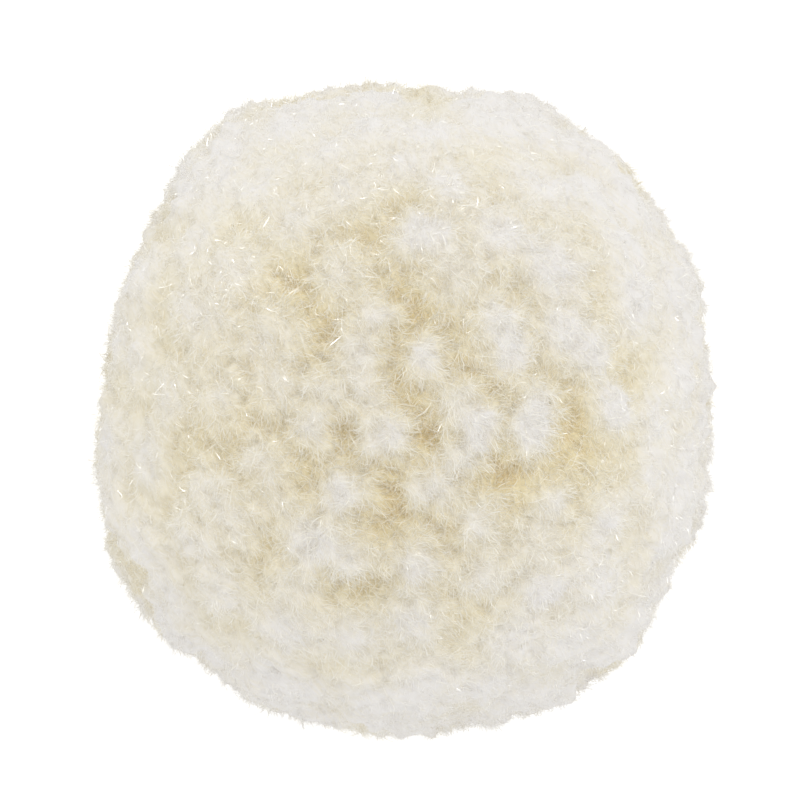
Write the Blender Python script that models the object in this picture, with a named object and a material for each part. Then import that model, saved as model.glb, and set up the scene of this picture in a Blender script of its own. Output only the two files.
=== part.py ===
"""A yarn pom pom: locks of cut yarn that stand out all round from the middle where they are bound.

Metres, +Z up. The origin is the middle of the box's underside, on the surface where the pom pom rests.
The bound middle is a ball of uneven four-sided cells, and each cell grows one lock. A lock keeps inside
the cone from the middle of the ball through its own cell, so that no two locks meet above their roots.
"""

import math
import random

import bmesh
import bpy
from mathutils import Vector

# Driving sizes
HALF_WIDTH = 0.0298  # middle of the ball to the trimmed ends, along X
HALF_DEPTH = 0.0316  # along Y
HALF_HEIGHT = 0.0294  # along Z, upwards
REST_HEIGHT = 0.0283  # middle of the ball above the surface that it rests on
SQUARENESS = 2.18  # 2 is an ellipsoid, and more is squarer
BOUND_RADIUS = 0.0120  # round middle where the roots are fused

# Cells of the bound middle, one for each lock
SPREAD_POINTS = 66
POINT_STRAY = 0.10  # how far a point strays, on a ball of radius 1
TRIANGLE_PAIRS = 54  # triangles between the points that are made four-sided, two by two
EVENING_ROUNDS = 10
SEED = 9

# Locks
LENGTH_SPREAD = 0.0006  # how much longer or shorter than its neighbours a lock is cut
CELL_SHARE = 0.955  # of its cell's width that a lock never leaves
FLOOR_CLEARANCE = 0.0004  # under the locks beside the flat spot

# Rings of a lock: how far along it they lie, and their width as a share of the cell's
LOCK_RINGS = (
    # name, along, width
    ("root", 0.000, 0.70),
    ("belly", 0.760, 0.93),
    ("shoulder", 0.910, 0.79),
    ("tip", 0.978, 0.46),
)
TIP_WIDTH = LOCK_RINGS[-1][2]

# Where the scissors left the ball fuller (+) or flatter (-) than its even form
TRIMMING = (
    # azimuth, elevation and reach of the place in degrees, height in metres
    (67, 3, 9, 0.0013),
    (82, 3, 7, -0.0009),
    (122, 5, 13, 0.0014),
    (155, 0, 16, -0.0014),
    (206, -5, 17, 0.0006),
    (236, 0, 10, -0.0004),
    (268, 0, 14, -0.0006),
    (308, 5, 12, 0.0011),
    (330, 0, 7, -0.0013),
    (342, 0, 7, 0.0009),
    (60, 50, 22, 0.0006),
    (200, 48, 20, -0.0006),
    (330, 60, 18, 0.0005),
    (30, -40, 22, -0.0006),
    (250, -38, 20, 0.0006),
)

YARN_COLOUR = (0.79, 0.74, 0.62, 1.0)
YARN_ROUGHNESS = 0.92


def direction(azimuth, elevation):
    """Unit vector at these angles, in degrees."""
    turn, lift = math.radians(azimuth), math.radians(elevation)
    return Vector((math.cos(lift) * math.cos(turn), math.cos(lift) * math.sin(turn), math.sin(lift)))


def trimmed_radius(way):
    """From the middle of the ball to its trimmed surface, along the unit vector way."""
    halves = (HALF_WIDTH, HALF_DEPTH, HALF_HEIGHT)
    radius = sum((abs(part) / half) ** SQUARENESS for part, half in zip(way, halves)) ** (-1 / SQUARENESS)
    for azimuth, elevation, reach, height in TRIMMING:
        apart = math.degrees(way.angle(direction(azimuth, elevation)))
        radius += height * math.exp(-((apart / reach) ** 2))
    return radius


def floor_radius(way):
    """From the middle of the ball down to the surface that it rests on, along way, or infinite."""
    return REST_HEIGHT / -way.z if way.z < 0 else math.inf


def spread_hull(ball, chance):
    """Points in a golden spiral over a ball of radius 1, strayed a little, with triangles between them."""
    golden_turn = math.pi * (3 - math.sqrt(5))
    for index in range(SPREAD_POINTS):
        height = 1 - (2 * index + 1) / SPREAD_POINTS
        ring = math.sqrt(1 - height**2)
        turn = golden_turn * index
        way = Vector((ring * math.cos(turn), ring * math.sin(turn), height))
        stray = Vector([chance.uniform(-POINT_STRAY, POINT_STRAY) for _ in range(3)])
        ball.verts.new((way + stray).normalized())
    bmesh.ops.convex_hull(ball, input=list(ball.verts))


def pair_triangles(ball, chance):
    """Joins neighbouring triangles two by two, at random."""
    edges = sorted(ball.edges, key=lambda edge: tuple(edge.verts[0].co + edge.verts[1].co))
    chance.shuffle(edges)
    paired = set()
    shared = []
    for edge in edges:
        if len(shared) < TRIANGLE_PAIRS and paired.isdisjoint(edge.link_faces):
            paired.update(edge.link_faces)
            shared.append(edge)
    bmesh.ops.dissolve_edges(ball, edges=shared, use_verts=False)


def split_from_middles(ball):
    """Splits each face into four-sided ones, from its middle to the middles of its edges."""
    corners = set(ball.verts)
    for edge in list(ball.edges):
        bmesh.utils.edge_split(edge, edge.verts[0], 0.5)
    middles = set(bmesh.ops.poke(ball, faces=list(ball.faces))["verts"])
    spokes = [edge for edge in ball.edges if middles & set(edge.verts) and corners & set(edge.verts)]
    bmesh.ops.dissolve_edges(ball, edges=spokes, use_verts=False)


def even_out(ball):
    """Draws each corner towards the cells around it, the wide ones most, and back on to the ball."""
    for _ in range(EVENING_ROUNDS):
        places = []
        for corner in ball.verts:
            pulls = [cell.calc_center_median() * cell.calc_area() for cell in corner.link_faces]
            places.append(sum(pulls, Vector()).normalized())
        for corner, place in zip(ball.verts, places):
            corner.co = place


def bound_middle(chance):
    """A bmesh of the round middle, in uneven four-sided cells."""
    ball = bmesh.new()
    spread_hull(ball, chance)
    pair_triangles(ball, chance)
    split_from_middles(ball)
    even_out(ball)
    for corner in ball.verts:
        corner.co *= BOUND_RADIUS
    ball.normal_update()
    return ball


def grow_lock(ball, cell, chance):
    """Extrudes one lock from its cell, ring after ring, and draws its tip up into a low dome."""
    corners = [corner.co.normalized() for corner in cell.verts]
    axis = sum(corners, Vector()).normalized()
    cut = chance.uniform(-LENGTH_SPREAD, LENGTH_SPREAD)
    lean = (corners[chance.randrange(4)] - axis) * chance.random()
    standing = floor_radius(axis) < trimmed_radius(axis) + cut

    def place(toward, along, width):
        sideways = lean * (CELL_SHARE - width) * along
        way = (axis + (toward - axis) * width + sideways).normalized()
        if standing:
            end = floor_radius(way)
            along = 1.0 if width == TIP_WIDTH else along
        else:
            end = min(trimmed_radius(way) + cut, floor_radius(way) - FLOOR_CLEARANCE)
        return way * (BOUND_RADIUS + (end - BOUND_RADIUS) * along)

    face = cell
    for _name, along, width in LOCK_RINGS:
        face = bmesh.ops.extrude_discrete_faces(ball, faces=[face])["faces"][0]
        for corner, toward in zip(face.verts, corners):
            corner.co = place(toward, along, width)
    apex = bmesh.ops.poke(ball, faces=[face])["verts"][0]
    apex.co = place(axis, 1.0, TIP_WIDTH)


def yarn_material():
    """Undyed wool."""
    material = bpy.data.materials.new("undyed_wool")
    material.use_nodes = True
    shader = material.node_tree.nodes["Principled BSDF"]
    shader.inputs["Base Color"].default_value = YARN_COLOUR
    shader.inputs["Roughness"].default_value = YARN_ROUGHNESS
    shader.inputs["Metallic"].default_value = 0.0
    return material


def stand_over_origin(ball):
    """Moves the ball up on to the surface, with the middle of its box over the origin."""
    middle = Vector((0, 0, -REST_HEIGHT))
    for axis in (0, 1):
        reaches = [corner.co[axis] for corner in ball.verts]
        middle[axis] = (min(reaches) + max(reaches)) / 2
    for corner in ball.verts:
        corner.co -= middle


def yarn_pom_pom():
    """The whole pom pom, as one closed solid."""
    chance = random.Random(SEED)
    ball = bound_middle(chance)
    for cell in list(ball.faces):
        grow_lock(ball, cell, chance)
    stand_over_origin(ball)
    mesh = bpy.data.meshes.new("yarn_pom_pom")
    ball.to_mesh(mesh)
    ball.free()
    mesh.materials.append(yarn_material())
    mesh.shade_smooth()
    pom_pom = bpy.data.objects.new("yarn_pom_pom", mesh)
    bpy.context.scene.collection.objects.link(pom_pom)


for leftover in list(bpy.data.objects):
    bpy.data.objects.remove(leftover)
yarn_pom_pom()
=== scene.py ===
# %% [markdown]
# # A wool pom pom
# A pom pom is a bundle of yarn, bound tightly across its middle and cut at both ends, so that every
# strand springs outwards. Each cut end opens into a small soft tuft, and scissors trim the tufts to a
# ball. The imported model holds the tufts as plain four-sided locks. This script gives them their looks:
# soft tufts that lean on each other, and on them the fine fibres that make wool look like wool.

# %% Load the model
import math

import bmesh
import bpy
import mathutils
import numpy
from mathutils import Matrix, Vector


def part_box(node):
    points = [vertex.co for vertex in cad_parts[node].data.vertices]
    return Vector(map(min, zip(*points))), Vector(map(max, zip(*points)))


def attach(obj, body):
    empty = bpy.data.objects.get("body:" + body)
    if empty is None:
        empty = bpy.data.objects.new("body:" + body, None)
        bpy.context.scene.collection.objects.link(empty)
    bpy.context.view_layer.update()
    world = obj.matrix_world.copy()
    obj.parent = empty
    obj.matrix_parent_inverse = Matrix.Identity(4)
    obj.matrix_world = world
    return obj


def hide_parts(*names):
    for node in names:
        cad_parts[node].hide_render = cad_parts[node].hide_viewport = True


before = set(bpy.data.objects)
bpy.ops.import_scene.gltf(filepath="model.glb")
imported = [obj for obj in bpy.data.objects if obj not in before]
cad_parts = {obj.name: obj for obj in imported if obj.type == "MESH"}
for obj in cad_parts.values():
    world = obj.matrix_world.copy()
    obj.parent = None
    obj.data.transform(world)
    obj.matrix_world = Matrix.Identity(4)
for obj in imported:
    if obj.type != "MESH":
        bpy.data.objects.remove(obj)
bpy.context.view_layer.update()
low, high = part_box("yarn_pom_pom")
middle = (low + high) / 2
half_sizes = (high - low) / 2
MM = 0.001
print("model, in mm:", [round(size / MM, 1) for size in high - low])

# %% [markdown]
# ## The camera
# The pom pom is seen from straight above, and it fills most of a square picture. A long lens far
# away keeps the rim from bending out of sight.

# %% Camera
PICTURE_WIDTH = 800  # pixels
PIXEL = 0.060 / 625  # the pom pom is 60 mm wide, and 625 pixels in the picture
MIDDLE_PIXEL = (404, 408)  # where the middle of the pom pom lies in the picture
CAMERA_HEIGHT = 0.62  # above the pom pom's widest level
SENSOR = 36.0

camera_data = bpy.data.cameras.new("camera")
camera_data.sensor_width = SENSOR
camera_data.lens = SENSOR * CAMERA_HEIGHT / (PICTURE_WIDTH * PIXEL)
camera = bpy.data.objects.new("camera", camera_data)
bpy.context.collection.objects.link(camera)
aside = (PICTURE_WIDTH / 2 - MIDDLE_PIXEL[0]) * PIXEL
upwards = (MIDDLE_PIXEL[1] - PICTURE_WIDTH / 2) * PIXEL
camera.location = middle + Vector((aside, upwards, CAMERA_HEIGHT))
bpy.context.scene.camera = camera
print("lens, in mm:", round(camera_data.lens))

# %% [markdown]
# ## The light
# The whole rim is even and bright, and nothing shows of what the pom pom lies on, so the light comes
# softly from all round. A white world and a pale floor that glows a little, as on a light table, give
# that. A soft lamp above the far side models the tufts. Two small lamps stand low at the upper left
# and at the right, and only the gloss sees them: smooth fibres glint, and nothing else gets lighter.

# %% World and floor
WORLD_LIGHT = 0.862
FLOOR_REACH = 3.0
FLOOR_COLOUR = (0.93, 0.93, 0.93, 1)
FLOOR_GLOW = 0.46

world = bpy.data.worlds.new("studio")
bpy.context.scene.world = world
world.use_nodes = True
world.node_tree.nodes["Background"].inputs["Color"].default_value = (1, 1, 1, 1)
world.node_tree.nodes["Background"].inputs["Strength"].default_value = WORLD_LIGHT

floor_mesh = bpy.data.meshes.new("floor")
floor_corners = [(x * FLOOR_REACH, y * FLOOR_REACH, 0) for x, y in ((-1, -1), (1, -1), (1, 1), (-1, 1))]
floor_mesh.from_pydata(floor_corners, [], [(0, 1, 2, 3)])
floor = bpy.data.objects.new("floor", floor_mesh)
bpy.context.collection.objects.link(floor)
floor_material = bpy.data.materials.new("pale_floor")
floor_material.use_nodes = True
floor_shader = floor_material.node_tree.nodes["Principled BSDF"]
floor_shader.inputs["Base Color"].default_value = FLOOR_COLOUR
floor_shader.inputs["Roughness"].default_value = 1.0
floor_shader.inputs["Specular IOR Level"].default_value = 0.0
floor_shader.inputs["Emission Color"].default_value = (1, 1, 1, 1)
floor_shader.inputs["Emission Strength"].default_value = FLOOR_GLOW
floor_mesh.materials.append(floor_material)
floor.visible_diffuse = False  # its glow is for the picture, and would be too strong on the rim

# %% Lamps
LAMPS = (
    # name, place from the middle of the pom pom, size, power, whether it lights more than the gloss
    ("soft_lamp", (0.10, 0.22, 0.52), 0.16, 0.41, True),
    ("left_glints", (-0.30, 0.38, 0.05), 0.03, 1.50, False),
    ("right_glints", (0.46, -0.06, 0.05), 0.03, 0.90, False),
)
for name, from_middle, size, power, full in LAMPS:
    lamp_data = bpy.data.lights.new(name, "AREA")
    lamp_data.shape = "DISK"
    lamp_data.size = size
    lamp_data.energy = power
    lamp = bpy.data.objects.new(name, lamp_data)
    lamp.location = middle + Vector(from_middle)
    lamp.rotation_euler = Vector(from_middle).to_track_quat("Z", "Y").to_euler()
    lamp.visible_diffuse = full
    bpy.context.collection.objects.link(lamp)
LIGHT_BOUNCES = 16  # light goes from fibre to fibre many times before it leaves the wool
bpy.context.scene.view_settings.view_transform = "Standard"
bpy.context.scene.cycles.diffuse_bounces = LIGHT_BOUNCES
bpy.context.scene.cycles.max_bounces = LIGHT_BOUNCES
print("lamps:", len(LAMPS))

# %% [markdown]
# ## Helpers for nodes
# Both materials and shapes are made of nodes here. These helpers add a node and set or link its
# inputs in one line, so that a tree reads from top to bottom.

# %% Helpers for nodes
def add_node(tree, kind, values=(), **settings):
    """A node of this kind, with its settings, and its inputs set or linked from values."""
    node = tree.nodes.new(kind)
    for name, value in settings.items():
        setattr(node, name, value)
    for key, value in dict(values).items():
        if isinstance(value, bpy.types.NodeSocket):
            tree.links.new(value, node.inputs[key])
        else:
            node.inputs[key].default_value = value
    return node


def maths(tree, operation, *values):
    """The result of a Math node."""
    return add_node(tree, "ShaderNodeMath", enumerate(values), operation=operation).outputs[0]


def vectors(tree, operation, *values):
    """The result of a Vector Math node, a number for LENGTH and DOT_PRODUCT and a vector otherwise."""
    node = add_node(tree, "ShaderNodeVectorMath", enumerate(values), operation=operation)
    return node.outputs["Value" if operation in ("LENGTH", "DOT_PRODUCT") else "Vector"]


def scaled(tree, vector, factor):
    """The vector times the factor."""
    node = add_node(tree, "ShaderNodeVectorMath", {"Vector": vector, "Scale": factor}, operation="SCALE")
    return node.outputs["Vector"]


def ranged(tree, value, source, target):
    """The value moved from the source range to the target range, and kept inside it."""
    values = {"Value": value, "From Min": source[0], "From Max": source[1]}
    values.update({"To Min": target[0], "To Max": target[1]})
    return add_node(tree, "ShaderNodeMapRange", values).outputs["Result"]


def noise(tree, place, size, detail=0.0):
    """A noise texture node whose lumps are about this size."""
    return add_node(tree, "ShaderNodeTexNoise", {"Vector": place, "Scale": 1 / size, "Detail": detail})


def centred(tree, noise_node):
    """The noise as a vector around zero."""
    return vectors(tree, "SUBTRACT", noise_node.outputs["Color"], (0.5, 0.5, 0.5))


# %% [markdown]
# ## The colour of undyed wool, and its painted shade
# Undyed wool is cream. Where light has bounced from fibre to fibre, deep between the tufts, it turns
# warm and tan, and where fibres end in the open they are nearly white. That shade is painted into the
# colour: it follows a number that is 0 in the depths and 1 at the ends. The same number could be
# painted by hand, but the shape knows it already, so it is stored there. The tufts themselves get the
# warmer shade, and the fibres over them are paler. Seen straight on, much of the warm wool shows between
# the fibres, and at the rim, where one looks along them, the pale fibres hide it, as on the real thing.

# %% Wool colour and painted shade
# Painted shade: at low nearness each table is darker and warmer than the wool's own cream.
TUFT_COLOURS_AND_SHADE = (
    # nearness to the open, red, green, blue
    (0.0, 0.83, 0.675, 0.38),
    (0.35, 0.87, 0.775, 0.52),
    (0.7, 0.905, 0.85, 0.70),
    (1.0, 0.905, 0.88, 0.85),
)
FIBRE_COLOURS_AND_SHADE = (
    (0.0, 0.91, 0.79, 0.51),
    (0.4, 0.93, 0.87, 0.69),
    (0.65, 0.935, 0.905, 0.81),
    (0.82, 0.94, 0.92, 0.87),
    (0.97, 0.94, 0.933, 0.935),
)
STRAND_COLOURS_AND_SHADE = (
    (0.0, 0.94, 0.86, 0.64),
    (0.5, 0.98, 0.935, 0.79),
    (0.9, 0.985, 0.96, 0.875),
)
USUAL_TONE = 0.6  # the tone at which a colour is the one in its table
TONE_SPREAD = ((0.4, 0.92), (0.36, 0.02))  # nearness to the open, and how much the tone changes there


def colour_wool(material, colours, nearness, tone):
    """Base colour with painted shade, from the colours by depth. The tone varies it, most in the depths.
    """
    tree = material.node_tree
    ramp = add_node(tree, "ShaderNodeValToRGB", {"Fac": nearness})
    stops = ramp.color_ramp.elements
    stops.remove(stops[1])
    for number, (place, *colour) in enumerate(colours):
        stop = stops.new(place) if number else stops[0]
        stop.color = (*colour, 1)
    spread = ranged(tree, nearness, *TONE_SPREAD)
    shade = maths(tree, "MULTIPLY_ADD", maths(tree, "SUBTRACT", tone, USUAL_TONE), spread, 1.0)
    shade = scaled(tree, ramp.outputs["Color"], shade)
    tree.links.new(shade, tree.nodes["Principled BSDF"].inputs["Base Color"])


def wool_material(name, roughness):
    """A wool material without its colour yet."""
    material = bpy.data.materials.new(name)
    material.use_nodes = True
    material.node_tree.nodes["Principled BSDF"].inputs["Roughness"].default_value = roughness
    return material


def fibre_material(name, colours, roughness, gloss):
    """A wool material for fibres, whose own map holds their tone and their nearness, which paints shade.
    """
    material = wool_material(name, roughness)
    material.node_tree.nodes["Principled BSDF"].inputs["Specular IOR Level"].default_value = gloss
    own_map = add_node(material.node_tree, "ShaderNodeUVMap", uv_map="OFBake")
    parts = add_node(material.node_tree, "ShaderNodeSeparateXYZ", {"Vector": own_map.outputs["UV"]})
    colour_wool(material, colours, parts.outputs["Y"], parts.outputs["X"])
    return material


# %% Wool of the tufts
STREAK = (3.5 * MM, 0.35 * MM, 0.35 * MM)  # length and width of the streaks that fibres leave
COMBED = -45  # degrees, seen from above: which way the fibres run
WAVE = 5 * MM  # how far the streaks wave to the sides
WAVE_SIZE = 6 * MM
STREAK_NEARNESS = ((0.3, 0.7), (-0.08, 0.08))  # the streak's noise, and what it adds to the nearness
STREAK_RELIEF = {"Distance": 0.25 * MM, "Strength": 0.35}

tuft_wool = wool_material("tuft_wool", 0.85)
tree = tuft_wool.node_tree
place = add_node(tree, "ShaderNodeTexCoord").outputs["Object"]
wave = scaled(tree, centred(tree, noise(tree, place, WAVE_SIZE)), WAVE)
values = {"Vector": vectors(tree, "ADD", place, wave), "Scale": STREAK}
values["Rotation"] = (0, 0, math.radians(COMBED))
combed = add_node(tree, "ShaderNodeMapping", values, vector_type="TEXTURE").outputs["Vector"]
streaks = noise(tree, combed, 1.0, detail=2.0).outputs["Fac"]
near = add_node(tree, "ShaderNodeAttribute", attribute_name="near").outputs["Fac"]
near = maths(tree, "ADD", near, ranged(tree, streaks, *STREAK_NEARNESS))
colour_wool(tuft_wool, TUFT_COLOURS_AND_SHADE, near, streaks)
bump = add_node(tree, "ShaderNodeBump", {"Height": streaks} | STREAK_RELIEF)
tree.links.new(bump.outputs["Normal"], tree.nodes["Principled BSDF"].inputs["Normal"])

# %% Wool of the fibres
fibre_wool = fibre_material("fibre_wool", FIBRE_COLOURS_AND_SHADE, 0.55, 0.5)
smooth_wool = fibre_material("smooth_wool", FIBRE_COLOURS_AND_SHADE, 0.30, 1.0)
strand_wool = fibre_material("strand_wool", STRAND_COLOURS_AND_SHADE, 0.30, 1.0)
print("materials:", [material.name for material in (tuft_wool, fibre_wool, smooth_wool, strand_wool)])

# %% [markdown]
# ## Growing with Geometry Nodes
# Each piece here follows a rule, so each is grown by a Geometry Nodes tree. The tree's inputs carry
# names, and a modifier sets them by the identifier behind the name. The result is turned into a plain
# mesh at once, and the object that carried the modifier is removed.

# %% Helpers for Geometry Nodes
def new_tree(name, sockets):
    """A Geometry Nodes tree with these inputs, its group input and its group output."""
    tree = bpy.data.node_groups.new(name, "GeometryNodeTree")
    tree.interface.new_socket("Geometry", in_out="INPUT", socket_type="NodeSocketGeometry")
    for label, kind in sockets:
        tree.interface.new_socket(label, in_out="INPUT", socket_type="NodeSocket" + kind)
    tree.interface.new_socket("Geometry", in_out="OUTPUT", socket_type="NodeSocketGeometry")
    return tree, tree.nodes.new("NodeGroupInput").outputs, tree.nodes.new("NodeGroupOutput").inputs


def stored(tree, geometry, name, value, kind="FLOAT", domain="POINT"):
    """The geometry with the value kept under a name."""
    values = {"Geometry": geometry, "Name": name, "Value": value}
    keeper = add_node(tree, "GeometryNodeStoreNamedAttribute", values, data_type=kind, domain=domain)
    return keeper.outputs[0]


def named(tree, name, kind="FLOAT"):
    """A value that was kept under this name."""
    return add_node(tree, "GeometryNodeInputNamedAttribute", {"Name": name}, data_type=kind).outputs[0]


def blurred(tree, value, rounds):
    """The value, softened over the neighbouring points."""
    values = {"Value": value, "Iterations": rounds, "Weight": 1.0}
    return add_node(tree, "GeometryNodeBlurAttribute", values).outputs["Value"]


def grown(name, source, tree, values):
    """A new plain object: the source mesh after the tree, with the tree's inputs set by their names."""
    worker = bpy.data.objects.new("worker", source)
    bpy.context.collection.objects.link(worker)
    modifier = worker.modifiers.new("nodes", "NODES")
    modifier.node_group = tree
    for item in tree.interface.items_tree:
        if item.in_out == "INPUT" and item.name in values:
            modifier[item.identifier] = values[item.name]
    mesh = bpy.data.meshes.new_from_object(worker.evaluated_get(bpy.context.evaluated_depsgraph_get()))
    bpy.data.objects.remove(worker)
    mesh.name = name
    made = bpy.data.objects.new(name, mesh)
    bpy.context.collection.objects.link(made)
    mesh.calc_loop_triangles()
    print(name + ":", len(mesh.loop_triangles), "triangles")
    return made


# %% [markdown]
# ## The soft form of the tufts
# The tufts stand so close that only their ends show. They lean on each other and merge, and here and
# there a parting opens between them. Subdividing the locks would keep them apart like fingers. So a
# fine ball is drawn over their tips, as a net over fingertips, and it rises to a soft dome at each
# tuft and sinks between them. Each lock's tip is the middle of a dome. On the side that is seen, the
# tufts and the partings that stand out are listed instead, with their places measured from
# the middle of the pom pom, in millimetres, as seen from above. Scissors left the rim fuller in some
# places and flatter in others, and those are listed as well.

# %% Tufts listed
TUFTS = (
    # x, y, half of its width in mm, how proud it stands (1 is as its neighbours)
    (8.7, 7.7, 2.5, 1.10),
    (9.9, 4.8, 1.9, 1.25),
    (2.0, 4.6, 1.9, 1.15),
    (-2.8, 8.9, 1.9, 1.10),
    (1.7, 15.6, 2.6, 1.15),
    (8.7, 15.6, 3.1, 1.10),
    (13.8, 12.8, 3.0, 1.10),
    (14.5, 7.5, 2.4, 1.10),
    (17.4, 5.4, 2.4, 1.10),
    (19.5, 0.0, 2.0, 1.25),
    (12.1, -1.6, 2.5, 1.15),
    (6.7, -1.9, 2.0, 1.20),
    (5.2, -4.8, 1.9, 1.05),
    (-2.0, -2.3, 2.5, 1.10),
    (-6.0, -7.4, 2.5, 1.15),
    (-8.3, -12.2, 2.6, 1.15),
    (-4.4, -13.6, 2.3, 1.05),
    (2.3, -7.6, 2.3, 1.05),
    (1.2, -14.3, 2.4, 1.10),
    (6.3, -10.3, 2.1, 1.05),
    (7.3, -15.4, 2.6, 1.00),
    (12.6, -16.5, 2.1, 1.20),
    (13.5, -8.4, 1.9, 1.05),
    (12.1, -12.2, 2.4, 0.90),
    (18.6, -10.0, 2.2, 1.05),
    (24.6, -12.4, 1.9, 1.20),
    (22.7, -6.0, 2.4, 1.00),
    (23.6, -1.2, 2.5, 1.00),
    (17.9, -15.8, 2.6, 1.00),
    (0.4, -19.2, 2.8, 1.05),
    (-5.2, -20.8, 2.6, 1.05),
    (-10.9, -20.2, 3.0, 1.05),
    (10.2, -20.8, 2.9, 1.00),
    (-8.8, -2.3, 1.9, 1.05),
    (-13.3, -5.2, 2.6, 1.00),
    (-11.9, -9.0, 2.1, 0.95),
    (-15.7, -10.4, 2.5, 1.00),
    (-10.0, -16.0, 2.3, 0.95),
    (-16.5, -16.8, 2.9, 1.00),
    (-4.2, 5.1, 2.3, 1.05),
    (-3.8, 1.6, 2.0, 1.00),
    (-7.7, 1.6, 2.3, 1.00),
    (-12.0, 1.6, 2.4, 1.00),
    (-17.2, 1.2, 2.8, 1.00),
    (-18.3, -7.0, 2.6, 1.00),
    (-12.9, 6.4, 3.0, 1.00),
    (-5.9, 12.6, 2.6, 1.00),
    (-10.2, 17.6, 2.8, 1.00),
    (-5.2, 20.0, 2.6, 1.00),
    (-16.0, 12.6, 2.8, 1.00),
    (4.6, 20.4, 2.5, 1.05),
    (12.6, 20.2, 3.0, 1.00),
    (19.8, 15.0, 2.6, 1.00),
    (21.3, 9.8, 3.0, 1.05),
    (5.4, 0.9, 2.0, 1.00),
    (12.3, 1.4, 1.9, 1.00),
)

# %% Partings listed
PARTINGS = (
    # x, y and reach in mm, and how deep it is (1 is usual)
    (1.5, 10.2, 2.0, 0.9),
    (1.3, 7.6, 1.0, 1.1),
    (0.4, 6.2, 1.1, 0.7),
    (-1.4, 10.5, 1.3, 0.7),
    (3.6, 10.8, 1.6, 0.6),
    (-10.0, 10.5, 1.7, 0.8),
    (-8.7, 13.6, 1.5, 0.6),
    (-8.0, 9.2, 1.4, 0.6),
    (-3.2, 16.3, 1.6, 0.6),
    (-0.3, 19.5, 1.5, 0.5),
    (-7.5, 5.5, 1.2, 0.5),
    (5.5, 3.9, 1.1, 1.0),
    (7.2, 1.9, 1.1, 1.3),
    (9.0, -0.4, 1.2, 0.9),
    (12.2, 4.0, 1.2, 0.8),
    (10.6, 2.3, 1.0, 0.6),
    (-1.2, 3.2, 1.1, 0.7),
    (-0.8, 0.3, 1.0, 0.6),
    (1.2, -0.8, 1.2, 0.9),
    (2.7, -2.4, 1.4, 1.6),
    (1.9, -4.3, 1.0, 1.1),
    (-11.3, -2.1, 1.0, 1.0),
    (-5.6, -1.0, 1.1, 0.8),
    (-4.9, -3.0, 1.1, 0.9),
    (-5.0, -5.2, 1.2, 0.5),
    (-8.4, -7.1, 1.1, 1.0),
    (-1.3, -7.0, 1.2, 0.9),
    (-0.8, -8.8, 1.1, 0.7),
    (3.7, -10.8, 1.4, 1.5),
    (4.8, -12.9, 1.3, 0.7),
    (5.3, -7.6, 1.1, 0.8),
    (7.3, -6.2, 1.3, 0.8),
    (9.2, -4.6, 1.2, 0.9),
    (10.8, -7.5, 1.2, 1.1),
    (11.7, -8.9, 1.2, 1.0),
    (10.3, -10.3, 1.2, 0.8),
    (13.3, -5.6, 1.3, 0.8),
    (15.7, -2.8, 1.6, 1.5),
    (18.0, -4.0, 1.4, 0.8),
    (20.3, 2.8, 1.5, 0.8),
    (14.9, -11.3, 1.4, 0.8),
    (15.8, -13.7, 1.5, 0.8),
    (-1.8, -13.5, 1.2, 0.7),
    (-6.1, -18.9, 1.3, 0.7),
    (-4.0, -16.4, 1.3, 0.6),
    (-17.0, -3.6, 1.7, 0.6),
    (-15.0, 1.0, 1.1, 0.5),
    (-9.2, -11.2, 1.2, 0.5),
    (-12.1, -11.9, 1.0, 0.5),
    (14.2, 16.6, 1.8, 0.5),
    (8.0, 20.0, 1.5, 0.5),
)
print("placed by hand:", len(TUFTS), "tufts and", len(PARTINGS), "partings")

# %% Scissor cuts at the rim
RIM_CUTS = (
    # azimuth and reach in degrees, and how much fuller (+) or flatter (-) the rim is there, in mm
    (27, 7, 1.5),
    (47, 6, 0.9),
    (71, 5, 0.6),
    (87, 4, 0.4),
    (114, 5, 0.5),
    (143, 8, -0.3),
    (205, 6, 0.4),
    (225, 4, 0.5),
    (234, 7, -0.9),
    (253, 7, -1.1),
    (281, 5, -0.8),
    (291, 4, -0.7),
    (304, 4, -0.8),
    (313, 5, 1.0),
    (327, 5, -0.7),
    (348, 8, -0.3),
)
CUT_HEIGHT = 16 * MM  # how far up and down the side a cut fades out
print("scissor cuts at the rim:", len(RIM_CUTS))

# %% Where every tuft stands
USUAL_HALF_WIDTH = 2.7 * MM
NEAREST = 4.3 * MM  # a lock whose tip is nearer than this to a listed tuft is that tuft


def on_top(x, y):
    """The point of the ball straight above these millimetres, seen from the middle."""
    across, along = x * MM / half_sizes.x, y * MM / half_sizes.y
    return Vector((x * MM, y * MM, half_sizes.z * math.sqrt(1 - across**2 - along**2)))


merged = bmesh.new()
merged.from_mesh(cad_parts["yarn_pom_pom"].data)
bmesh.ops.remove_doubles(merged, verts=merged.verts, dist=0.001 * MM)
lock_tips = [corner.co - middle for corner in merged.verts if len(corner.link_faces) == 4]
lock_mesh = bpy.data.meshes.new("locks")
merged.to_mesh(lock_mesh)
merged.free()
tufts = [(on_top(x, y), half_width * MM, pride) for x, y, half_width, pride in TUFTS]
for tip in lock_tips:
    way = Vector([part / half_size for part, half_size in zip(tip, half_sizes)]).normalized()
    spot = Vector([part * half_size for part, half_size in zip(way, half_sizes)])
    if all((spot - placed).length > NEAREST for placed, _, _ in tufts[: len(TUFTS)]):
        tufts.append((spot, USUAL_HALF_WIDTH, 1.0))
print("lock tips:", len(lock_tips), "and tufts:", len(tufts))

# %% Ball with the tufts' domes
BALL_STEPS = 7
DOME_REACH = 1.60  # where a dome has fallen to nothing, in half widths of its tuft
FULLNESS = 3.0  # 2 is an even arch, and more has a broader top and steeper sides
CRISPNESS = 4.5  # how sharply neighbouring domes part
HIGHEST_DOME = 1.15  # where domes merge they rise past 1, up to this
WANDER = 1.1 * MM  # how far the domes' edges wander from a circle
WANDER_SIZE = 4 * MM
WANDER_SEED = 1795548559  # fixed, because this noise would otherwise start from the clock

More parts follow.
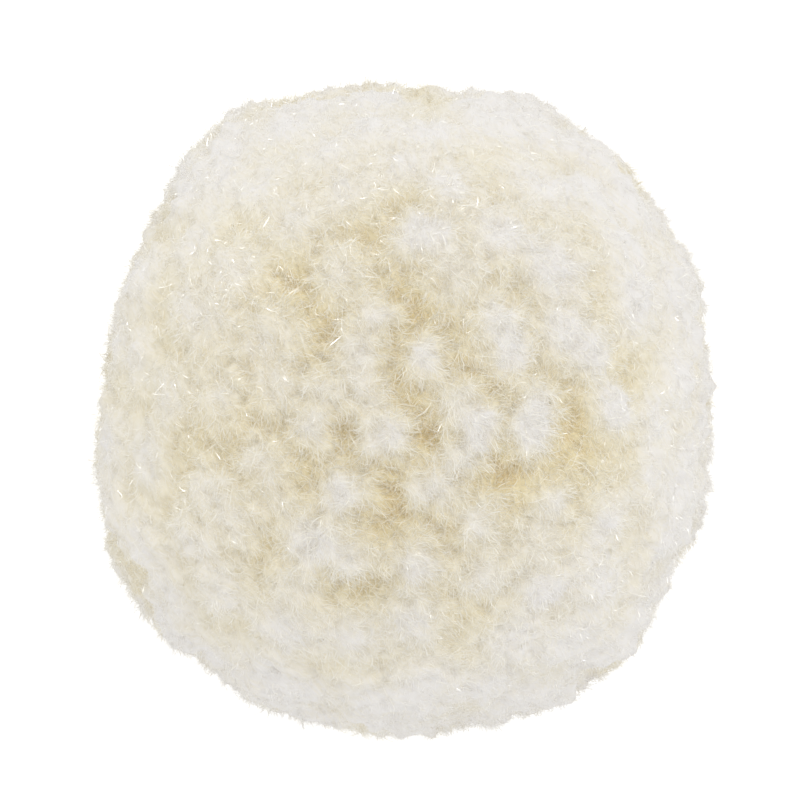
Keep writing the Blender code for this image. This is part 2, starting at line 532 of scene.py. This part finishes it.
workshop = bmesh.new()
bmesh.ops.create_icosphere(workshop, subdivisions=BALL_STEPS, radius=1.0)
ball = bpy.data.meshes.new("ball")
workshop.to_mesh(ball)
workshop.free()
points = numpy.array([corner.co for corner in ball.vertices]) * numpy.array(half_sizes)
places = [Vector(point) / WANDER_SIZE for point in points]
mathutils.noise.seed_set(WANDER_SEED)
points += WANDER * numpy.array([mathutils.noise.turbulence_vector(place, 2, False) for place in places])
weights = numpy.zeros(len(points))
away = numpy.zeros(points.shape)
for spot, half_width, pride in tufts:
    apart = (points - numpy.array(spot)) / (DOME_REACH * half_width)
    weight = numpy.exp(CRISPNESS * pride * (1 - numpy.linalg.norm(apart, axis=1) ** FULLNESS))
    weights += weight
    away += weight[:, None] * apart
away /= weights[:, None]
domes = numpy.clip(numpy.log(weights) / CRISPNESS, 0.0, HIGHEST_DOME)

# %% Partings and scissor cuts on the ball
partings = numpy.zeros(len(points))
for x, y, reach, depth in PARTINGS:
    apart = numpy.linalg.norm(points - numpy.array(on_top(x, y)), axis=1)
    partings += depth * numpy.exp(-((apart / (reach * MM)) ** 2))
azimuths = numpy.degrees(numpy.arctan2(points[:, 1], points[:, 0]))
fuller = numpy.zeros(len(points))
for azimuth, reach, height in RIM_CUTS:
    apart = (azimuths - azimuth + 180) % 360 - 180
    fuller += height * MM * numpy.exp(-((apart / reach) ** 2))
fuller *= numpy.exp(-((points[:, 2] / CUT_HEIGHT) ** 2))
ball.attributes.new("fuller", "FLOAT", "POINT").data.foreach_set("value", fuller)
ball.attributes.new("dome", "FLOAT", "POINT").data.foreach_set("value", domes)
ball.attributes.new("parting", "FLOAT", "POINT").data.foreach_set("value", partings)
ball.attributes.new("away", "FLOAT_VECTOR", "POINT").data.foreach_set("vector", away.ravel())
print("ball:", len(points), "points, domes from", round(domes.min(), 2), "to", round(domes.max(), 2))

# %% Tree that draws the ball over the tips
DRAPE_INPUTS = (
    ("Locks", "Object"),
    ("Shallow gap", "Float"),
    ("Deep gap", "Float"),
    ("Parting", "Float"),
    ("Shaded depth", "Float"),
    ("Lump size", "Float"),
    ("Lump height", "Float"),
    ("Material", "Material"),
)
OUTSIDE = 1.3  # the rays that find the tips start this far out, in half sizes, and point inwards
RAY_LENGTH = 0.1  # long enough to reach the middle
NET_SOFTENING = 10  # rounds of softening over neighbouring points
t, given, result = new_tree("drape_tufts", DRAPE_INPUTS)
way = vectors(t, "MULTIPLY", add_node(t, "GeometryNodeInputPosition").outputs[0], tuple(half_sizes))
locks = add_node(t, "GeometryNodeObjectInfo", {"Object": given["Locks"]}).outputs["Geometry"]
net = add_node(t, "GeometryNodeConvexHull", {"Geometry": locks}).outputs[0]
start = vectors(t, "ADD", scaled(t, way, OUTSIDE), tuple(middle))
values = {"Target Geometry": net, "Source Position": start, "Ray Direction": scaled(t, way, -1.0)}
met = add_node(t, "GeometryNodeRaycast", values | {"Ray Length": RAY_LENGTH}).outputs["Hit Position"]
met = vectors(t, "DIVIDE", vectors(t, "SUBTRACT", met, tuple(middle)), tuple(half_sizes))
shape = stored(t, given["Geometry"], "level", vectors(t, "LENGTH", met))
shape = stored(t, shape, "level", blurred(t, named(t, "level"), NET_SOFTENING))

# %% Rough and smooth heights
# A height here is a share of the ball's half height: -1 is the floor, 0 the widest level and 1 the top.
SIDES_FADE = (0.0, 0.38)  # where the rough sides turn into the smooth shoulder
TOP_FADE = (0.55, 0.95)  # where the smooth shoulder turns into the rough top
FLOOR_FADE = (-0.92, -0.80)  # where the gaps fade out towards the surface that the ball rests on
parts = add_node(t, "ShaderNodeSeparateXYZ", {"Vector": way})
upness = maths(t, "DIVIDE", parts.outputs["Z"], half_sizes.z)
off_floor = ranged(t, upness, FLOOR_FADE, (0.0, 1.0))
on_the_top = ranged(t, upness, TOP_FADE, (0.0, 1.0))
at_sides = ranged(t, upness, SIDES_FADE, (1.0, 0.0))
rough = maths(t, "MAXIMUM", on_the_top, at_sides)

# %% Tufts, gaps and partings
PATCH_SIZE = 9 * MM  # the gaps are deeper and shallower in patches of about this size
PATCH_NOISE = (0.36, 0.66)  # the noise where the gaps are shallowest and deepest
GAP_SHARES = (0.60, 0.95)  # share of a gap's depth on the smooth shoulder, and in rough places
GAP_SOFTENING = 3  # rounds
patches = noise(t, vectors(t, "ADD", way, tuple(middle)), PATCH_SIZE).outputs["Fac"]
gap = ranged(t, patches, PATCH_NOISE, (given["Shallow gap"], given["Deep gap"]))
gap_share = ranged(t, rough, (0.0, 1.0), GAP_SHARES)
gap = maths(t, "MULTIPLY", maths(t, "MULTIPLY", gap, off_floor), gap_share)
sunk = maths(t, "MULTIPLY", maths(t, "SUBTRACT", 1.0, named(t, "dome")), gap)
sunk = maths(t, "ADD", sunk, maths(t, "MULTIPLY", named(t, "parting"), given["Parting"]))
shape = stored(t, shape, "sunk", sunk)
shape = stored(t, shape, "sunk", blurred(t, named(t, "sunk"), GAP_SOFTENING))
proud = maths(t, "SUBTRACT", named(t, "fuller"), named(t, "sunk"))
height = maths(t, "ADD", named(t, "level"), maths(t, "DIVIDE", proud, half_sizes.z))

# %% Nearness to the open, with painted light and shade
# Each pair holds a range of heights, domes or places, and the nearness at its two ends. That of the
# domes and the places is added to that of the heights.
UPPER_SHADE = ((0.30, 0.90), (0.97, 0.79))  # painted shade above the widest level: the top darker and warmer than the shoulder
LOWER_SHADE = ((-0.30, 0.10), (0.85, 0.97))  # and below it: darker towards the bottom
LIT_DOMES = ((0.92, HIGHEST_DOME), (0.0, 0.16))  # painted light: proud tufts are paler
LIGHT_TO_RIGHT = ((-20 * MM, 20 * MM), (-0.06, 0.05))  # painted light: so is the right side
LIGHT_FAR_AND_NEAR = ((8 * MM, 26 * MM), (0.0, 0.06))  # painted light: and so are the far and near sides
SHADE_SHARES = (0.60, 1.0)  # share of the depth that paints warm shade on the shoulder, and in rough places
shade_by_height = maths(t, "MINIMUM", ranged(t, upness, *UPPER_SHADE), ranged(t, upness, *LOWER_SHADE))
# Painted shade: the deeper a point lies in a gap or parting, the darker and warmer its wool.
painted_shade_depth = maths(t, "MULTIPLY", named(t, "sunk"), ranged(t, rough, (0.0, 1.0), SHADE_SHARES))
near = maths(t, "SUBTRACT", shade_by_height, maths(t, "DIVIDE", painted_shade_depth, given["Shaded depth"]))
near = maths(t, "ADD", near, ranged(t, named(t, "dome"), *LIT_DOMES))
near = maths(t, "ADD", near, ranged(t, parts.outputs["X"], *LIGHT_TO_RIGHT))
near = maths(t, "ADD", near, ranged(t, maths(t, "ABSOLUTE", parts.outputs["Y"]), *LIGHT_FAR_AND_NEAR))
shape = stored(t, shape, "near", add_node(t, "ShaderNodeClamp", {"Value": near}).outputs[0])

# %% Lumps, floor and finish
WITHIN_REACH = (0.989, 1.0, 1.0)  # along x the tufts end a little farther in, and fibres fill the rest
TALL = (1.0, 1.0, 0.4)  # lumps and clumps run up the sides, so that notches show in the outline
LUMPS_FADE = ((0.05, 0.32), (1.4, 0.22))  # heights above or below the widest level, and the lumps' share
LOWEST = (-1.0, -1.0, 0.0)  # the least x, y and z of any point, of which only z comes into play
within = vectors(t, "MULTIPLY", way, WITHIN_REACH)
draped = vectors(t, "ADD", scaled(t, within, height), tuple(middle))
shape = add_node(t, "GeometryNodeSetPosition", {"Geometry": shape, "Position": draped}).outputs[0]
position = add_node(t, "GeometryNodeInputPosition").outputs[0]
values = {"Vector": vectors(t, "MULTIPLY", position, TALL), "Detail": 1.0}
values["Scale"] = maths(t, "DIVIDE", 1.0, given["Lump size"])
lumps = add_node(t, "ShaderNodeTexNoise", values).outputs["Fac"]
lift = maths(t, "MULTIPLY", maths(t, "SUBTRACT", lumps, 0.5), given["Lump height"])
lift = maths(t, "MULTIPLY", lift, ranged(t, maths(t, "ABSOLUTE", upness), *LUMPS_FADE))
lift = scaled(t, add_node(t, "GeometryNodeInputNormal").outputs[0], lift)
shape = add_node(t, "GeometryNodeSetPosition", {"Geometry": shape, "Offset": lift}).outputs[0]
above = vectors(t, "MAXIMUM", add_node(t, "GeometryNodeInputPosition").outputs[0], LOWEST)
shape = add_node(t, "GeometryNodeSetPosition", {"Geometry": shape, "Position": above}).outputs[0]
shape = add_node(t, "GeometryNodeSetShadeSmooth", {"Geometry": shape}).outputs[0]
shape = add_node(t, "GeometryNodeRealizeInstances", {"Geometry": shape}).outputs[0]
shape = add_node(t, "GeometryNodeSetMaterial", {"Geometry": shape, "Material": given["Material"]})
t.links.new(shape.outputs[0], result["Geometry"])

# %% The tufts, grown
lock_shape = bpy.data.objects.new("locks", lock_mesh)
bpy.context.collection.objects.link(lock_shape)
drape_values = {
    "Locks": lock_shape,
    "Shallow gap": 1.0 * MM,
    "Deep gap": 1.45 * MM,
    "Parting": 0.34 * MM,
    # how deep a gap is before its painted shade is full
    "Shaded depth": 2.3 * MM,
    "Lump size": 1.5 * MM,
    "Lump height": 1.9 * MM,
    "Material": tuft_wool,
}
wool = grown("yarn_tufts", ball, t, drape_values)
bpy.data.objects.remove(lock_shape)
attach(wool, "root")
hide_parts("yarn_pom_pom")

# %% [markdown]
# ## The fibres
# Where a strand is cut, its fibres spring open. Most of the cut ends stand outwards, short and close
# together. Seen end on they are a fine speckle, and seen from the side, at the rim, a pale haze. Others
# lie over the tufts in low arcs, combed roughly the same way by handling, and a few long ones have come
# loose. On the smooth shoulder between the rough top and the sides all of them are fewer and shorter.
# Hair curves would show them well in a render, but they aren't a mesh. A round fibre would cost ten
# faces or more, and at this size nobody sees that it is round. So each fibre is a slim pointed blade of
# one, two or four faces, turned about its own length at random, and light reaches both its sides.

# %% Tree that grows fibres
FIBRE_INPUTS = (
    ("Fibres per square metre", "Float"),
    ("Fewest", "Float"),
    ("Length", "Float"),
    ("Girth", "Float"),
    ("Rise", "Float"),
    ("Droop", "Float"),
    ("Stray", "Float"),
    ("Curl", "Float"),
    ("Roll", "Float"),
    ("Steps", "Int"),
    # how far a whole fibre is lifted out of the painted shade
    ("Lift from shade", "Float"),
    ("Seed", "Int"),
    ("Material", "Material"),
)
t, given, result = new_tree("grow_fibres", FIBRE_INPUTS)


def chance(low_end, high_end, turn):
    """A random number for each fibre, from a seed of its own."""
    values = {2: low_end, 3: high_end, "Seed": maths(t, "ADD", given["Seed"], turn)}
    return add_node(t, "FunctionNodeRandomValue", values, data_type="FLOAT").outputs[1]


def chance_way(turn):
    """A random vector for each fibre, from a seed of its own."""
    values = {0: (-1, -1, -1), 1: (1, 1, 1), "Seed": maths(t, "ADD", given["Seed"], turn)}
    return add_node(t, "FunctionNodeRandomValue", values, data_type="FLOAT_VECTOR").outputs[0]


# %% Where fibres stand
SIDE_SHARE = 0.50  # of the fibres, on the sides
SMOOTH_SHARE = 0.21  # of the fibres, on the smooth shoulder
FIBRE_SIDES = ((0.08, 0.28), (SIDE_SHARE, SMOOTH_SHARE))  # heights, and the share of the fibres there
FIBRE_TOP = ((0.56, 0.92), (SMOOTH_SHARE, 1.0))
OUT_OF_GAPS = (0.1, 0.6)  # nearness where the fibres are fewest, and where there are all of them
share = ranged(t, named(t, "near"), OUT_OF_GAPS, (given["Fewest"], 1.0))
position = add_node(t, "GeometryNodeInputPosition").outputs[0]
from_middle = vectors(t, "SUBTRACT", position, tuple(middle))
upness = add_node(t, "ShaderNodeSeparateXYZ", {"Vector": from_middle}).outputs["Z"]
upness = maths(t, "DIVIDE", upness, half_sizes.z)
rough = maths(t, "MAXIMUM", ranged(t, upness, *FIBRE_SIDES), ranged(t, upness, *FIBRE_TOP))
density = maths(t, "MULTIPLY", maths(t, "MULTIPLY", share, rough), given["Fibres per square metre"])
values = {"Mesh": given["Geometry"], "Density": density, "Seed": given["Seed"]}
spots = add_node(t, "GeometryNodeDistributePointsOnFaces", values)
normal = spots.outputs["Normal"]

# %% Which way they lie
COMB_SHARE = 0.30  # how strongly they follow the comb
AWAY_SHARE = 0.36  # how strongly they spread from the middle of their tuft
FLOW_SIZE = 4 * MM  # fibres within about this distance lie alike
RISE_SPREAD = (0.4, 1.6)  # least and most, by chance
comb_turn = math.radians(COMBED)
comb = (COMB_SHARE * math.cos(comb_turn), COMB_SHARE * math.sin(comb_turn), 0.0)
flow = vectors(t, "ADD", centred(t, noise(t, position, FLOW_SIZE, 1.0)), comb)
flow = vectors(t, "ADD", flow, scaled(t, named(t, "away", "FLOAT_VECTOR"), AWAY_SHARE))
lying = vectors(t, "ADD", flow, scaled(t, chance_way(0), given["Stray"]))
lying = vectors(t, "SUBTRACT", lying, scaled(t, normal, vectors(t, "DOT_PRODUCT", lying, normal)))
lying = vectors(t, "NORMALIZE", lying)
rise = maths(t, "MULTIPLY", given["Rise"], chance(*RISE_SPREAD, 5))
way = vectors(t, "NORMALIZE", vectors(t, "ADD", lying, scaled(t, normal, rise)))

# %% How long they are and how they bend
CLUMP_SIZE = 0.9 * MM  # fibres reach out in clumps of about this size
CLUMPS = ((0.40, 0.62), (-0.65, 0.80))  # the clumps' noise, and the share of its length a fibre gains
CLUMPS_FADE = ((0.08, 0.35), (1.0, 0.18))  # heights, and how much of that is left there
USUAL_LENGTH = 0.9  # share of the length before the clumps change it
SHORTER = ((0.3, 1.0), (0.72, 1.0))  # share of the fibres in a place, and of their length
LENGTH_SPREAD = (0.6, 1.0)  # least and most, by chance
DROOP_SPREAD = (-1.0, -0.35)
clump = noise(t, vectors(t, "MULTIPLY", position, TALL), CLUMP_SIZE).outputs["Fac"]
clump_share = ranged(t, upness, *CLUMPS_FADE)
uneven = maths(t, "MULTIPLY_ADD", ranged(t, clump, *CLUMPS), clump_share, USUAL_LENGTH)
length = maths(t, "MULTIPLY", given["Length"], maths(t, "MULTIPLY", uneven, ranged(t, rough, *SHORTER)))
length = maths(t, "MULTIPLY", length, chance(*LENGTH_SPREAD, 1))
droop = maths(t, "MULTIPLY", maths(t, "MULTIPLY", rise, given["Droop"]), chance(*DROOP_SPREAD, 6))
sideways = scaled(t, vectors(t, "CROSS_PRODUCT", normal, lying), chance(-1.0, 1.0, 2))
bend = vectors(t, "ADD", scaled(t, normal, droop), scaled(t, sideways, given["Curl"]))
bend = scaled(t, bend, length)

# %% One fibre
POINTED = 0.85  # share of its width that a blade has lost at its tip
rings = maths(t, "ADD", given["Steps"], 1)
values = {"Size X": 1.0, "Size Y": 1.0, "Vertices X": 2, "Vertices Y": rings}
blade = add_node(t, "GeometryNodeMeshGrid", values).outputs["Mesh"]
parts = add_node(t, "ShaderNodeSeparateXYZ", {"Vector": position})
along = maths(t, "ADD", parts.outputs["Y"], 0.5)
blade = stored(t, blade, "along", along)
width = maths(t, "SUBTRACT", 1.0, maths(t, "MULTIPLY", maths(t, "MULTIPLY", along, along), POINTED))
values = {"X": maths(t, "MULTIPLY", parts.outputs["X"], width), "Y": along}
pointed = add_node(t, "ShaderNodeCombineXYZ", values).outputs[0]
blade = add_node(t, "GeometryNodeSetPosition", {"Geometry": blade, "Position": pointed}).outputs[0]

# %% A blade on each spot
values = {"Primary Axis": way, "Secondary Axis": normal}
turn = add_node(t, "FunctionNodeAxesToRotation", values, primary_axis="Y", secondary_axis="Z").outputs[0]
roll = {"Axis": (0, 1, 0), "Angle": maths(t, "MULTIPLY", given["Roll"], chance(-1.0, 1.0, 3))}
values = {"Rotation": turn, "Rotate By": add_node(t, "FunctionNodeAxisAngleToRotation", roll).outputs[0]}
turn = add_node(t, "FunctionNodeRotateRotation", values, rotation_space="LOCAL").outputs[0]
size = add_node(t, "ShaderNodeCombineXYZ", {"X": given["Girth"], "Y": length, "Z": 1.0}).outputs[0]
values = {"Points": spots.outputs["Points"], "Instance": blade, "Rotation": turn, "Scale": size}
fibres = add_node(t, "GeometryNodeInstanceOnPoints", values).outputs[0]
fibres = stored(t, fibres, "tone", chance(0, 1, 4), domain="INSTANCE")
fibres = stored(t, fibres, "near", named(t, "near"), domain="INSTANCE")
fibres = stored(t, fibres, "bend", bend, "FLOAT_VECTOR", "INSTANCE")
fibres = add_node(t, "GeometryNodeRealizeInstances", {"Geometry": fibres}).outputs[0]

# %% Bent, crimped, coloured and shaded
CRIMP = 1.5 * MM  # how far the fibres' wool waves to the sides
CRIMP_SIZE = 1.1 * MM
WOOL_SHARE = 0.7  # of the nearness, and so of the painted shade, where a fibre stands, which it keeps
TIP_NEARNESS = 0.25  # what a fibre's tip adds to it: painted light, so the tip is paler than the shaded root
MAP_EDGES = (0.01, 0.99)  # the least and the most nearness on the map
TONE_RANGE = 0.97  # the rest of the map's width is room for the corners
CORNER_ROUND = 3.0  # corners are counted 0, 1, 2 and from 0 again
CORNER_STEP = 0.004  # and each count is this much further along the map, so that no face there is empty
along = named(t, "along")
bend = scaled(t, named(t, "bend", "FLOAT_VECTOR"), maths(t, "MULTIPLY", along, along))
crimp = scaled(t, centred(t, noise(t, position, CRIMP_SIZE)), maths(t, "MULTIPLY", along, CRIMP))
bend = vectors(t, "ADD", bend, crimp)
fibres = add_node(t, "GeometryNodeSetPosition", {"Geometry": fibres, "Offset": bend}).outputs[0]
above = vectors(t, "MAXIMUM", position, LOWEST)
fibres = add_node(t, "GeometryNodeSetPosition", {"Geometry": fibres, "Position": above}).outputs[0]
# Painted shade along each fibre: it keeps part of the painted shade where it stands, its tip is paler,
# and a kind of fibre can be lifted out of the shade as a whole.
near = maths(t, "MULTIPLY", named(t, "near"), WOOL_SHARE)
near = maths(t, "ADD", near, maths(t, "MULTIPLY", along, TIP_NEARNESS))
near = ranged(t, maths(t, "ADD", near, given["Lift from shade"]), (0, 1), MAP_EDGES)
corner = maths(t, "MODULO", add_node(t, "GeometryNodeInputIndex").outputs[0], CORNER_ROUND)
tone = maths(t, "MULTIPLY", named(t, "tone"), TONE_RANGE)
tone = maths(t, "ADD", tone, maths(t, "MULTIPLY", corner, CORNER_STEP))
own_place = add_node(t, "ShaderNodeCombineXYZ", {"X": tone, "Y": near}).outputs[0]
fibres = stored(t, fibres, "OFBake", own_place, "FLOAT2", "CORNER")
fibres = add_node(t, "GeometryNodeSetShadeSmooth", {"Geometry": fibres}).outputs[0]
fibres = add_node(t, "GeometryNodeSetMaterial", {"Geometry": fibres, "Material": given["Material"]})
t.links.new(fibres.outputs[0], result["Geometry"])

# %% Kinds of fibre
CUT_ENDS = {
    "Fibres per square metre": 8.4e6,
    "Fewest": 0.6,
    "Length": 1.05 * MM,
    "Girth": 0.060 * MM,
    "Rise": 1.6,
    "Droop": 0.0,
    "Stray": 0.8,
    "Curl": 0.0,
    "Roll": 1.2,
    "Steps": 1,
    "Lift from shade": 0.12,
    "Material": fibre_wool,
}
BLOOM = {
    "Fibres per square metre": 4.3e6,
    "Fewest": 0.7,
    "Length": 1.8 * MM,
    "Girth": 0.048 * MM,
    "Rise": 0.50,
    "Droop": 1.0,
    "Stray": 0.30,
    "Curl": 0.60,
    "Roll": 1.0,
    "Steps": 2,
    "Lift from shade": 0.10,
    "Material": smooth_wool,
}
LOOSE = {
    "Fibres per square metre": 2.3e6,
    "Fewest": 1.0,
    "Length": 2.7 * MM,
    "Girth": 0.058 * MM,
    "Rise": 0.60,
    "Droop": 0.9,
    "Stray": 0.40,
    "Curl": 0.90,
    "Roll": 0.6,
    "Steps": 4,
    "Lift from shade": 0.30,
    "Material": strand_wool,
}

# %% Grow the fibres
PIECES = (
    ("cut_ends_1", CUT_ENDS),
    ("cut_ends_2", CUT_ENDS),
    ("bloom_fibres_1", BLOOM),
    ("bloom_fibres_2", BLOOM),
    ("loose_strands", LOOSE),
)
for number, (name, kind) in enumerate(PIECES):
    fibres = grown(name, wool.data, t, kind | {"Seed": 10 * number})
    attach(fibres, "root")
